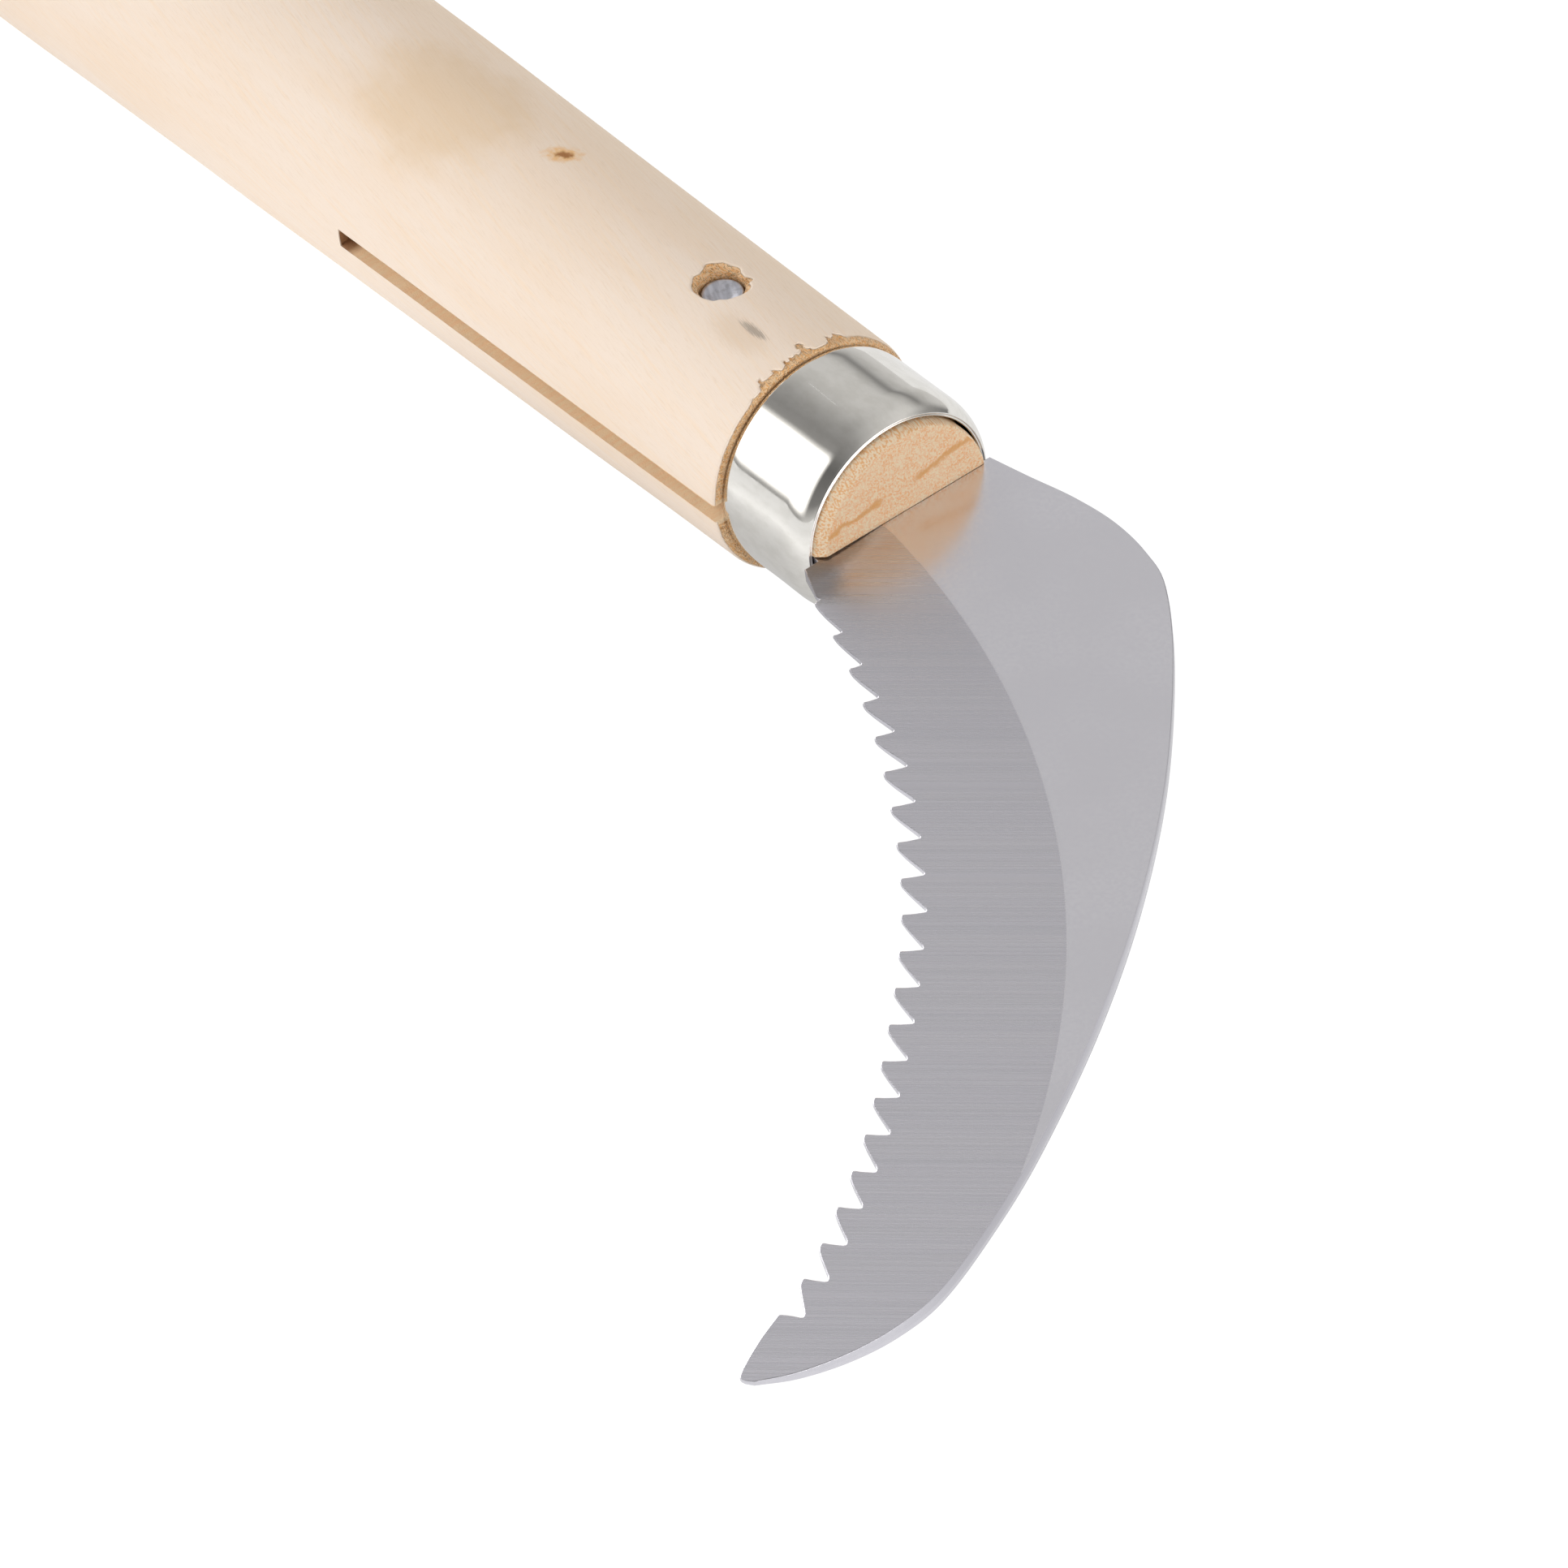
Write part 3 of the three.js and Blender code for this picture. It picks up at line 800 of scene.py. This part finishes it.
GRAIN_SPIRAL = -0.015  # radians of turn per millimetre along the handle
FUZZ_LEAN = 0.7  # how far the fuzz of fibres on the sawn walls leans out of the kerf, to each side
STAIN_AT, BRUISE_AT, TRAIL_AT = (107, 84), (159.3, 84.5), (158.5, 79)  # x, degrees round the handle
KNOT_AT, KNOT_TURN = (122.8, 98.2), -45
CUT_BELOW = (0.14, 0.26)  # wood this far below the turned surface is cut or torn
BLIND_END = (102.4, -13.5, -0.5)  # of the kerf, at the -Y surface
KERF_START = (102.2, 102.4)
KERF_EDGE = (1.12, 1.15)  # half of the kerf's width at the surface
KERF_ZONE = (1.50, 1.62)  # cut wood nearer to the middle plane than this is the kerf's wall
GROWTH_LINE_HEIGHT, GROWTH_LINE_SLOPE = 4.3, 0.11


def turned_wood(g, place, x, y):
    """Pale wood whose grain winds slowly round the handle. Also gives its streaks and fibres."""
    broad = g.noise(g.stretched(place, (0.035, 0.16, 0.16)), 1.0, 3.0)
    spiral = g.node("ShaderNodeVectorRotate", {"Vector": place, "Angle": g.product(x, GRAIN_SPIRAL)},
                    rotation_type="X_AXIS").outputs[0]
    streaks = g.noise(g.stretched(spiral, (0.10, 2.4, 2.4)), 1.0, 4.0, 0.6, 0.3)
    fibres = g.noise(g.stretched(spiral, (0.55, 8.0, 8.0)), 1.0, 3.0, 0.65)
    colour = g.blend(g.step(broad, 0.40, 0.68), PALE_WOOD, WARM_WOOD)
    # Towards +Y: a warmer tan tint, and painted light on the handle's dimly lit far side.
    colour = g.blend(g.step(y, 0.0, 15.0, 0.0, 0.60), colour, TAN_WOOD_AND_PAINTED_LIGHT)
    colour = g.blend(g.step(streaks, 0.45, 0.75, 0.0, 0.45), colour, STREAK_WOOD)
    colour = g.blend(g.step(fibres, 0.50, 0.78, 0.0, 0.26), colour, STAINED_WOOD)
    return colour, streaks, fibres


def handling_marks(g, place, colour, fibres):
    """A cloudy stain, a pin knot, and a bruise at the end of its trail."""
    stain = g.blob(place, on_handle(*STAIN_AT), (15, 11, 9), g.swing(g.noise(place, 0.22, 3.0), 0.8))
    colour = g.blend(g.product(stain, 0.45), colour, STAIN)
    cloud = g.swing(g.noise(place, 1.4, 3.0), 1.1)
    knot = g.stretched(g.vector("SUBTRACT", place, on_handle(*KNOT_AT)), (1.0, 1.0, 1.0), KNOT_TURN)
    knot_ring = g.blob(knot, (0.0, 0.0, 0.0), (2.6, 1.7, 2.0), cloud)
    knot_heart = g.blob(knot, (0.1, -0.1, 0.0), (1.5, 0.75, 1.2), cloud)
    colour = g.blend(g.product(knot_ring, 0.8), colour, KNOT_RING)
    colour = g.blend(knot_heart, colour, KNOT_HEART)
    smear = g.swing(fibres, 1.6)
    bruise = g.blob(place, on_handle(*BRUISE_AT), (2.6, 0.7, 1.2), smear)
    trail = g.blob(place, on_handle(*TRAIL_AT), (5.5, 2.6, 1.6), smear)
    colour = g.blend(g.product(trail, 0.30), colour, STAINED_WOOD)
    return g.blend(g.product(bruise, 0.6), colour, BRUISE)


def raw_wood(g, place, kerf):
    """Torn wood with cracks, and the kerf's sawn walls, lightened as painted light, with painted shade at
    the blind end.
    """
    torn = g.noise(g.stretched(place, (1.2, 5.0, 5.0)), 1.0, 3.0)
    raw = g.blend(g.step(torn, 0.42, 0.62), CUT_WOOD, TORN_WOOD)
    crack_noise = g.noise(g.stretched(place, (0.9, 2.4, 2.4)), 1.0, 2.0)
    cracks = g.near_zero(g.math("SUBTRACT", crack_noise, 0.5), 0.0, 0.035, 0.7)
    raw = g.blend(cracks, raw, CRACK)
    # The kerf's walls: saw marks in sawn colours that carry painted light.
    saw_marks = g.noise(g.stretched(place, (2.6, 0.35, 0.35)), 1.0, 3.0)
    sawn_with_painted_light = g.blend(g.step(saw_marks, 0.3, 0.7), SAWN_WOOD_PAINTED_LIGHT, SAWN_PALE_PAINTED_LIGHT)
    # Painted shade in the corner at the kerf's blind end.
    kerf_end_shade = g.blob(place, BLIND_END, (2.4, 6.0, 2.5))
    sawn_with_painted_light = g.blend(g.product(kerf_end_shade, 0.95), sawn_with_painted_light, KERF_END_SHADE)
    return g.blend(kerf, raw, sawn_with_painted_light)


def end_grain(g, place, y, z):
    """Speckled end grain with a growth line that wanders and has a gap in its middle."""
    speckle = g.noise(place, 5.2, 4.0, 0.8)
    patches = g.noise(place, 0.7, 2.0)
    end = g.blend(g.step(speckle, 0.42, 0.58), END_PALE, END_GRAIN)
    end = g.blend(g.step(patches, 0.4, 0.7, 0.0, 0.35), end, END_PALE)
    wander = g.swing(g.noise(place, 0.45, 3.0), 2.6)
    level = g.math("SUBTRACT", g.math("SUBTRACT", z, g.product(y, GROWTH_LINE_SLOPE)), wander)
    line = g.near_zero(g.math("SUBTRACT", level, GROWTH_LINE_HEIGHT), 0.12, 0.62)
    gap = g.step(g.math("ABSOLUTE", g.math("ADD", y, 0.2)), 1.4, 3.0)
    return g.blend(g.product(line, gap, 0.80), end, GROWTH_LINE)


def wood_material():
    """Pale unvarnished hardwood: fine grain along the handle, handling marks, raw colour where it is
    cut or torn below the turned surface, and end grain at the front."""
    material, g = new_material("pale_turned_wood")
    place = g.millimetres()
    x, y, z = g.split(place)
    colour, streaks, fibres = turned_wood(g, place, x, y)
    colour = handling_marks(g, place, colour, fibres)

    radius = g.length(g.join(0.0, y, z))
    butt, shoulder = BUTT_RADIUS / MM, SHOULDER_RADIUS / MM
    turned = g.math("ADD", g.product(x, (shoulder - butt) * MM / SHOULDER_X), butt)
    ragged = g.swing(g.noise(place, 3.0, 3.0), 0.12)
    below = g.math("ADD", g.math("SUBTRACT", turned, radius), ragged)
    before_butt = g.step(x, 6.0, 8.0)
    kerf_mouth = g.product(g.near_zero(z, *KERF_EDGE), g.step(x, *KERF_START))
    cut_share = g.math("MAXIMUM", g.product(g.step(below, *CUT_BELOW), before_butt), kerf_mouth)
    kerf = g.near_zero(z, *KERF_ZONE)
    colour = g.blend(cut_share, colour, raw_wood(g, place, kerf))

    facing = g.split(g.node("ShaderNodeNewGeometry").outputs["Normal"])[0]
    is_front = g.step(x, LIP - 2, LIP - 1)
    is_end = g.product(g.step(facing, 0.86, 0.95), is_front)
    fringe = g.noise(g.stretched(place, (0.4, 4.5, 4.5)), 1.0, 2.0)
    side = g.blend(g.step(fringe, 0.44, 0.60, 0.0, 0.9), NOSE_SIDE, TORN_WOOD)
    colour = g.blend(is_front, colour, side)
    colour = g.blend(is_end, colour, end_grain(g, place, y, z))

    grain_height = g.math("ADD", g.product(streaks, 0.5), g.product(fibres, 0.5))
    normal = g.bump(grain_height, 0.35, 0.12 * MM)
    rough_height = g.noise(place, 5.0, 4.0, 0.7)
    raw_share = g.math("MAXIMUM", cut_share, is_front)
    normal = g.bump(g.product(rough_height, raw_share), 0.9, 0.35 * MM, normal)
    lean = g.product(kerf, cut_share, FUZZ_LEAN, g.math("SIGN", y))
    outwards = g.node("ShaderNodeVectorTransform", {0: g.join(0.0, lean, 0.0)},
                      vector_type="VECTOR", convert_from="OBJECT", convert_to="WORLD").outputs[0]
    normal = g.vector("NORMALIZE", g.vector("ADD", normal, outwards))
    g.surface({"Base Color": colour, "Roughness": g.step(streaks, 0.3, 0.7, 0.52, 0.66), "Normal": normal,
               "Specular IOR Level": 0.35})
    return material


NICKEL, HAZED_NICKEL, SCRATCH = (0.86, 0.84, 0.80), (0.80, 0.78, 0.735), (0.93, 0.92, 0.90)
SCRATCH_AT = (171.2, -2.0)  # x, y of a point on it
SCRATCH_SLOPE = 0.0355
SCRATCH_MIDDLE = 171.6


def nickel_material():
    """Bright nickel plate with faint wiping marks and one light scratch."""
    material, g = new_material("bright_nickel_plate")
    place = g.millimetres()
    x, y, z = g.split(place)
    haze = g.noise(g.stretched(place, (0.5, 0.9, 0.9)), 1.0, 3.0)
    wipes = g.noise(g.stretched(place, (9.0, 0.9, 0.9)), 1.0, 3.0)
    rise = g.product(g.math("SUBTRACT", x, SCRATCH_AT[0]), SCRATCH_SLOPE)
    across = g.near_zero(g.math("ADD", rise, g.math("ADD", y, -SCRATCH_AT[1])), 0.03, 0.09)
    along = g.near_zero(g.math("SUBTRACT", x, SCRATCH_MIDDLE), 2.0, 3.0)
    scratch = g.product(across, along, g.step(z, 3.0, 5.0))
    colour = g.blend(g.step(haze, 0.35, 0.7), NICKEL, HAZED_NICKEL)
    colour = g.blend(g.product(scratch, 0.4), colour, SCRATCH)
    roughness = g.math("ADD", g.step(haze, 0.3, 0.7, 0.045, 0.10), g.product(scratch, 0.30))
    normal = g.bump(g.math("ADD", wipes, g.product(scratch, -1.0)), 0.05, 0.02 * MM)
    g.surface({"Base Color": colour, "Metallic": 1.0, "Roughness": roughness, "Normal": normal})
    return material


GRINDING_TURN = -45.4  # degrees that bring the grinding lines onto X
GRINDING_SLANT = 1.56  # the lines lie in planes that lean over by this slope
ROLLED_DARK, ROLLED_LIGHT, ROLLED_DULL = (0.755, 0.745, 0.80), (0.79, 0.78, 0.83), (0.73, 0.72, 0.77)
SCORED_DARK, SCORED_LIGHT, SCORED_BAND = (0.615, 0.61, 0.66), (0.64, 0.63, 0.685), (0.665, 0.655, 0.69)
SPECK, NECK_DARKENING, NOSE_SHADOW = (0.20, 0.17, 0.15), (0.22, 0.17, 0.13), (0.26, 0.19, 0.13)
CUT_EDGE = (0.42, 0.41, 0.45)
# a darker brown patch on the neck, beside the lip
NECK_DARKENING_AT = (LIP + 1.4, -12.4, 0.5)
# painted shadow under the nose's lower edge, on the neck
NOSE_SHADOW_AT = (LIP + 0.9, -9.5, 1.0)


def ground_share(g, x, y, z, facing):
    """1 on the ground face: inside the grinding arc, below the sheet's face, and facing +Z."""
    centre = (LIP + GRIND_CENTRE.x / MM, GRIND_CENTRE.y / MM, 0.0)
    half, radius = BLADE_HALF / MM, GRIND_RADIUS / MM
    distance = g.length(g.vector("SUBTRACT", g.join(x, y, 0.0), centre))
    in_arc = g.step(distance, radius - 0.12, radius + 0.04, 1.0, 0.0)
    below = g.step(z, half - 0.006, half - 0.02)
    above_back = g.step(z, -half + 0.15, -half + 0.25)
    near_side = g.product(above_back, g.step(facing, 0.6, 0.8))
    return g.product(in_arc, below, near_side)


def steel_material():
    """Sheet steel: a satin rolled face, a ground face with fine straight grinding lines, a duller cut
    edge, a darker brown patch where the neck leaves the ferrule, and painted shadow under the nose."""
    material, g = new_material("satin_and_ground_steel")
    place = g.millimetres()
    x, y, z = g.split(place)
    facing = g.split(g.node("ShaderNodeNewGeometry").outputs["Normal"])[2]
    ground = ground_share(g, x, y, z, facing)
    slanted = g.join(x, g.math("ADD", y, g.product(z, GRINDING_SLANT)), 0.0)
    lines = g.noise(g.stretched(slanted, (0.004, 8.0, 0.0), GRINDING_TURN), 1.0, 2.0, 0.6)
    bands = g.noise(g.stretched(slanted, (0.004, 0.6, 0.0), GRINDING_TURN), 1.0, 3.0, 0.6)
    mottle = g.noise(place, 2.2, 4.0, 0.65)
    broad = g.noise(place, 0.06, 2.0)
    specks = g.step(g.noise(place, 1.6, 2.0, 0.5), 0.80, 0.84)
    rolled = g.blend(g.step(mottle, 0.35, 0.65), ROLLED_DARK, ROLLED_LIGHT)
    rolled = g.blend(g.step(broad, 0.35, 0.65, 0.0, 0.5), rolled, ROLLED_DULL)
    scored = g.blend(g.step(lines, 0.36, 0.64), SCORED_DARK, SCORED_LIGHT)
    scored = g.blend(g.step(bands, 0.40, 0.66, 0.0, 0.30), scored, SCORED_BAND)
    colour = g.blend(ground, rolled, scored)
    colour = g.blend(g.product(specks, 0.6), colour, SPECK)
    patch_edge_warp = g.swing(mottle, 0.5)
    # A darker brown patch on the neck, beside the lip.
    dark_patches = g.blob(place, NECK_DARKENING_AT, (5.0, 3.8, 4.0), patch_edge_warp)
    colour = g.blend(g.product(dark_patches, 0.55), colour, NECK_DARKENING)
    # Painted shadow under the nose's lower edge.
    nose_shadow = g.blob(place, NOSE_SHADOW_AT, (2.0, 7.0, 3.0), patch_edge_warp)
    colour = g.blend(g.product(nose_shadow, 0.55), colour, NOSE_SHADOW)
    edge_side = g.near_zero(facing, 0.55, 0.75)
    burnished = g.step(z, -0.45, -0.30, 0.50, 0.76)
    edge_tone = g.product(g.step(y, -78.0, -60.0, 0.25, 1.0), burnished)
    colour = g.blend(g.product(edge_side, edge_tone), colour, CUT_EDGE)
    roughness = g.node("ShaderNodeMix", {0: ground, 2: g.step(mottle, 0.3, 0.7, 0.20, 0.27),
                                         3: g.step(lines, 0.3, 0.7, 0.24, 0.34)}).outputs[0]
    normal = g.bump(g.product(lines, ground), 0.055, 0.02 * MM)
    normal = g.bump(mottle, 0.05, 0.02 * MM, normal)
    g.surface({"Base Color": colour, "Metallic": 1.0, "Roughness": roughness, "Normal": normal})
    return material


WIRE_DARK, WIRE_LIGHT, WIRE_GRIME = (0.50, 0.51, 0.57), (0.68, 0.69, 0.76), (0.20, 0.19, 0.19)


def rivet_material():
    """Dull cropped steel wire with shear marks across its end."""
    material, g = new_material("cropped_wire_end")
    place = g.millimetres()
    shear = g.noise(g.stretched(place, (0.25, 1.6, 0.5), 25), 1.0, 3.0, 0.5)
    dark_patches = g.noise(place, 1.1, 3.0)
    colour = g.blend(g.step(shear, 0.35, 0.65), WIRE_DARK, WIRE_LIGHT)
    colour = g.blend(g.step(dark_patches, 0.52, 0.72, 0.0, 0.28), colour, WIRE_GRIME)
    normal = g.bump(shear, 0.15, 0.15 * MM)
    g.surface({"Base Color": colour, "Metallic": 0.9, "Roughness": g.step(dark_patches, 0.3, 0.7, 0.32, 0.48),
               "Normal": normal})
    return material


# ---- Put the pieces in the frame ----

def fit_piece(piece, node, material):
    piece.data.materials.clear()
    piece.data.materials.append(material)
    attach(piece, "root")
    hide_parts(node)


fit_piece(make_handle(), "handle", wood_material())
fit_piece(make_ferrule(), "ferrule", nickel_material())
fit_piece(make_blade(), "blade", steel_material())
fit_piece(make_rivet(), "rivet", rivet_material())

# ---- Camera ----

VIEW_AZIMUTH, VIEW_ELEVATION, VIEW_ROLL = 56.526, 41.779, -7.457
VIEW_AIM = Vector((0.20376, -0.03422, 0.0))
VIEW_DISTANCE = 1.28306
VIEW_LENS = 292.36


def add_camera():
    azimuth, elevation, roll = map(math.radians, (VIEW_AZIMUTH, VIEW_ELEVATION, VIEW_ROLL))
    back = Vector((math.sin(azimuth) * math.cos(elevation), -math.cos(azimuth) * math.cos(elevation),
                   math.sin(elevation)))
    level = Vector((math.cos(azimuth), math.sin(azimuth), 0))
    over = back.cross(level)
    right = level * math.cos(roll) + over * math.sin(roll)
    up = back.cross(right)
    camera = bpy.data.objects.new("camera", bpy.data.cameras.new("camera"))
    camera.data.sensor_width = 36
    camera.data.lens = VIEW_LENS
    camera.data.clip_start, camera.data.clip_end = 0.05, 50
    turn = Matrix((right, up, back)).transposed()
    camera.matrix_world = Matrix.Translation(VIEW_AIM + back * VIEW_DISTANCE) @ turn.to_4x4()
    bpy.context.scene.collection.objects.link(camera)
    bpy.context.scene.camera = camera


# ---- Studio ----

FLOOR_SIZE = 6.0
FLOOR_CLEARANCE = 0.2 * MM
FLOOR_PAINT = (0.12, 0.12, 0.12, 1)
FLOOR_SEEN = 0.965  # its glow for the camera; the lists below are for light and reflections only
FLOOR_GLOW_FROM_LIP = 25 * MM  # the dimmer middle of the glow lies this far behind the lip
FLOOR_GLOW = [(0, 0.42), (0.013, 0.50), (0.023, 0.53), (0.04, 0.70), (0.06, 0.95), (0.11, 0.80),
              (0.3, 0.75)]  # (distance, strength)
FAR_SIDE, FAR_SIDE_GLOW = (-5 * MM, 12 * MM), 0.77  # on the +Y side of the handle


def add_floor():
    """A pale floor that the handle's butt rests on. It glows softly, so shadows on it stay faint."""
    level = HANDLE_LOW.z - FLOOR_CLEARANCE
    half = FLOOR_SIZE / 2
    corners = [(-half, -half, level), (half, -half, level), (half, half, level), (-half, half, level)]
    floor = new_object("floor", mesh_from("floor", corners, [(0, 1, 2, 3)]))
    material, g = new_material("pale_floor")
    seen = g.node("ShaderNodeLightPath").outputs["Is Camera Ray"]
    place = g.node("ShaderNodeTexCoord").outputs["Object"]
    away = g.length(g.vector("SUBTRACT", place, (LIP_X - FLOOR_GLOW_FROM_LIP, 0.0, level)))
    far_side = g.step(g.split(place)[1], *FAR_SIDE)
    glow = g.node("ShaderNodeMix", {0: far_side, 2: g.ramp(away, FLOOR_GLOW), 3: FAR_SIDE_GLOW}).outputs[0]
    strength = g.node("ShaderNodeMix", {0: seen, 2: glow, 3: FLOOR_SEEN}).outputs[0]
    light = g.node("ShaderNodeEmission", {"Color": (1, 1, 1, 1), "Strength": strength})
    paint = g.node("ShaderNodeBsdfDiffuse", {"Color": FLOOR_PAINT})
    both = g.node("ShaderNodeAddShader", {0: light.outputs[0], 1: paint.outputs[0]})
    output = g.node("ShaderNodeOutputMaterial")
    g.tree.links.new(both.outputs[0], output.inputs[0])
    floor.data.materials.append(material)


# Light round the handle's axis, as (angle from -Y over +Z, strength): a large soft box low on the -Y side,
# a dim ceiling, and grey walls. One ring is seen towards the butt, the other towards the blade.
BUTT_SIDE = [(-180, 0.68), (-100, 0.5), (-60, 0.55), (-22, 0.9), (-4, 1.0), (-1, 0.25), (3, 0.5), (7, 1.6),
             (14, 3.0), (55, 3.0), (60, 0.90), (64, 0.30), (74, 0.27), (88, 0.35), (108, 0.56), (122, 0.63),
             (140, 0.62), (147, 0.48), (154, 0.24), (161, 0.48), (170, 0.60), (180, 0.68)]
BLADE_SIDE = [(-180, 0.4), (-120, 0.6), (-60, 1.0), (-10, 0.9), (15, 0.22), (50, 0.14), (80, 0.30),
              (110, 0.62), (140, 0.72), (160, 0.34), (180, 0.20)]
SIDES_MEET = (-0.25, 0.15)  # x of the direction
BACK_LIGHT = [(-180, 1.2), (-60, 0.6), (10, 0.6), (60, 2.2), (100, 4.6), (160, 4.6), (180, 1.2)]
BACK_LIGHT_EDGE = (-0.85, -0.93)  # it lies behind the butt
FRONT_LIGHT = 3.1  # straight ahead of the blade
FRONT_LIGHT_EDGE = (0.70, 0.88)
SKY_COLOUR = (1.0, 0.99, 0.975, 1)
SKY_SEEN = 1.0  # for the camera


def add_world():
    world = bpy.data.worlds.new("soft_studio")
    world.use_nodes = True
    bpy.context.scene.world = world
    g = Graph(world.node_tree)
    direction = g.node("ShaderNodeTexCoord").outputs["Generated"]
    x, y, z = g.split(direction)
    round_axis = g.product(g.math("ARCTAN2", z, g.product(y, -1.0)), 180 / math.pi)
    butt_side, blade_side = g.ramp(round_axis, BUTT_SIDE), g.ramp(round_axis, BLADE_SIDE)
    behind = g.ramp(round_axis, BACK_LIGHT)
    seen = g.node("ShaderNodeLightPath").outputs["Is Camera Ray"]
    level = butt_side
    for share, other in ((g.step(x, *SIDES_MEET), blade_side), (g.step(x, *FRONT_LIGHT_EDGE), FRONT_LIGHT),
                         (g.step(x, *BACK_LIGHT_EDGE), behind), (seen, SKY_SEEN)):
        level = g.node("ShaderNodeMix", {0: share, 2: level, 3: other}).outputs[0]
    light = g.node("ShaderNodeBackground", {"Color": SKY_COLOUR, "Strength": level})
    output = g.node("ShaderNodeOutputWorld")
    g.tree.links.new(light.outputs[0], output.inputs[0])


add_camera()
add_floor()
add_world()
bpy.context.scene.view_settings.view_transform = "Standard"
